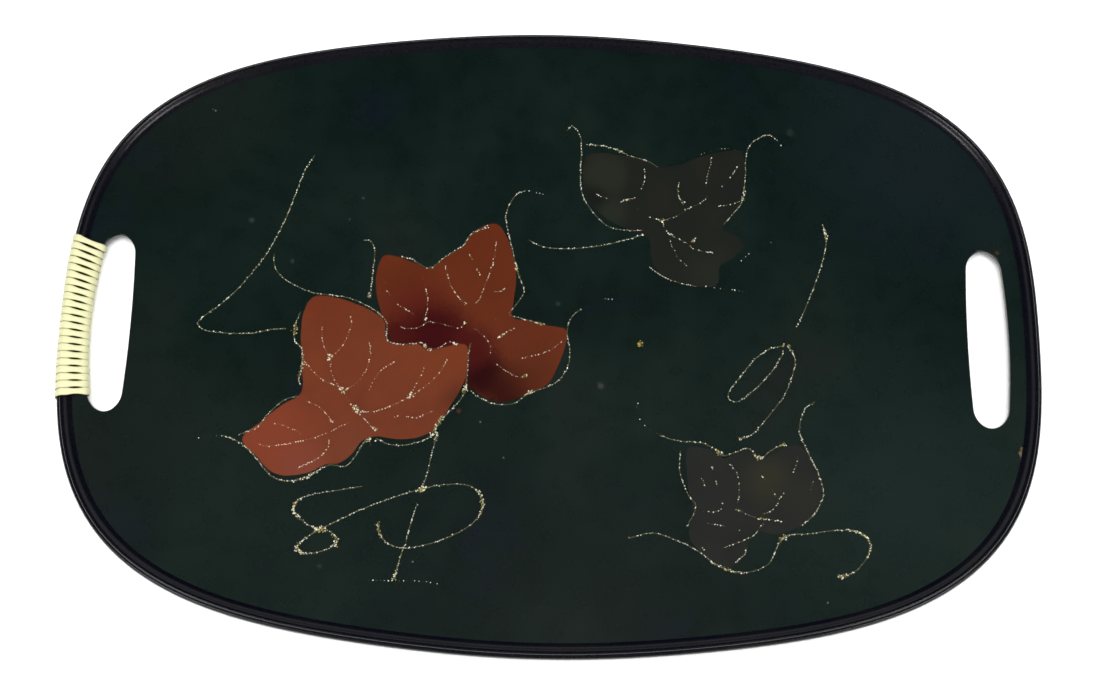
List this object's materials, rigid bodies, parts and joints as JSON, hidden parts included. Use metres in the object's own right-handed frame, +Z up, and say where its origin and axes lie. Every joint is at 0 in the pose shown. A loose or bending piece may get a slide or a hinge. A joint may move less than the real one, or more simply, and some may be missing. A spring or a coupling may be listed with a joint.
{
  "type": "lacquered serving tray",
  "caption": "Dark green-black lacquered oval serving tray with a low black rim, two hand slots, one cane-wrapped grip, painted autumn leaves and raised glitter scrolls.",
  "frame": {"origin": "centre of the flat underside, on the surface that the tray stands on", "axes": "+Z up out of the painted face, +X along the long side from the cane-wrapped grip to the bare grip, +Y across the tray towards the upper leaves"},
  "size_m": [0.5009, 0.3322, 0.0124],
  "materials": {
    "panel_lacquer": "pressed wood fibre under mottled green-black lacquer, satin",
    "rim_lacquer": "blue-black gloss lacquer over a moulded wood-fibre rim",
    "cane": "split cane strand, pale straw, low sheen",
    "leaf_orange": "brushed orange-red lacquer paint, satin",
    "leaf_red": "brick-red lacquer paint shading into burgundy, satin",
    "leaf_bronze": "thin grey-brown metallic lacquer wash, satin",
    "glitter_paste": "raised paste strewn with gold and silver glitter grains"
  },
  "bodies": {
    "root": {"pressed_panel": "panel_lacquer", "rim_left_grip": "rim_lacquer", "rim_right_grip": "rim_lacquer", "rim_far_side": "rim_lacquer", "rim_near_side": "rim_lacquer", "cane_wrap": "cane", "leaf_front": "leaf_orange", "leaf_back": "leaf_red", "leaf_dark_upper": "leaf_bronze", "leaf_dark_lower": "leaf_bronze", "gold_spot": "glitter_paste", "vine_far_left": "glitter_paste", "vine_over_front_leaf": "glitter_paste", "hook_left_of_back_leaf": "glitter_paste", "front_leaf_left_edge": "glitter_paste", "front_leaf_tip_edge": "glitter_paste", "front_leaf_lower_edge": "glitter_paste", "front_leaf_right_edge": "glitter_paste", "stem_upper": "glitter_paste", "stem_middle": "glitter_paste", "stem_foot": "glitter_paste", "scroll_large": "glitter_paste", "scroll_small_loop": "glitter_paste", "scroll_small_tail": "glitter_paste", "back_leaf_top_edge": "glitter_paste", "vine_centre": "glitter_paste", "back_leaf_right_edge": "glitter_paste", "upper_leaf_left_edge": "glitter_paste", "vine_to_upper_leaf": "glitter_paste", "upper_leaf_top_edge": "glitter_paste", "upper_leaf_right_edge": "glitter_paste", "upper_leaf_lower_edge": "glitter_paste", "vine_far_right": "glitter_paste", "bow_loop": "glitter_paste", "bow_tail": "glitter_paste", "lower_leaf_right_edge": "glitter_paste", "scroll_under_lower_leaf": "glitter_paste", "lower_leaf_top_edge": "glitter_paste", "lower_leaf_left_edge": "glitter_paste"}
  },
  "joints": []
}
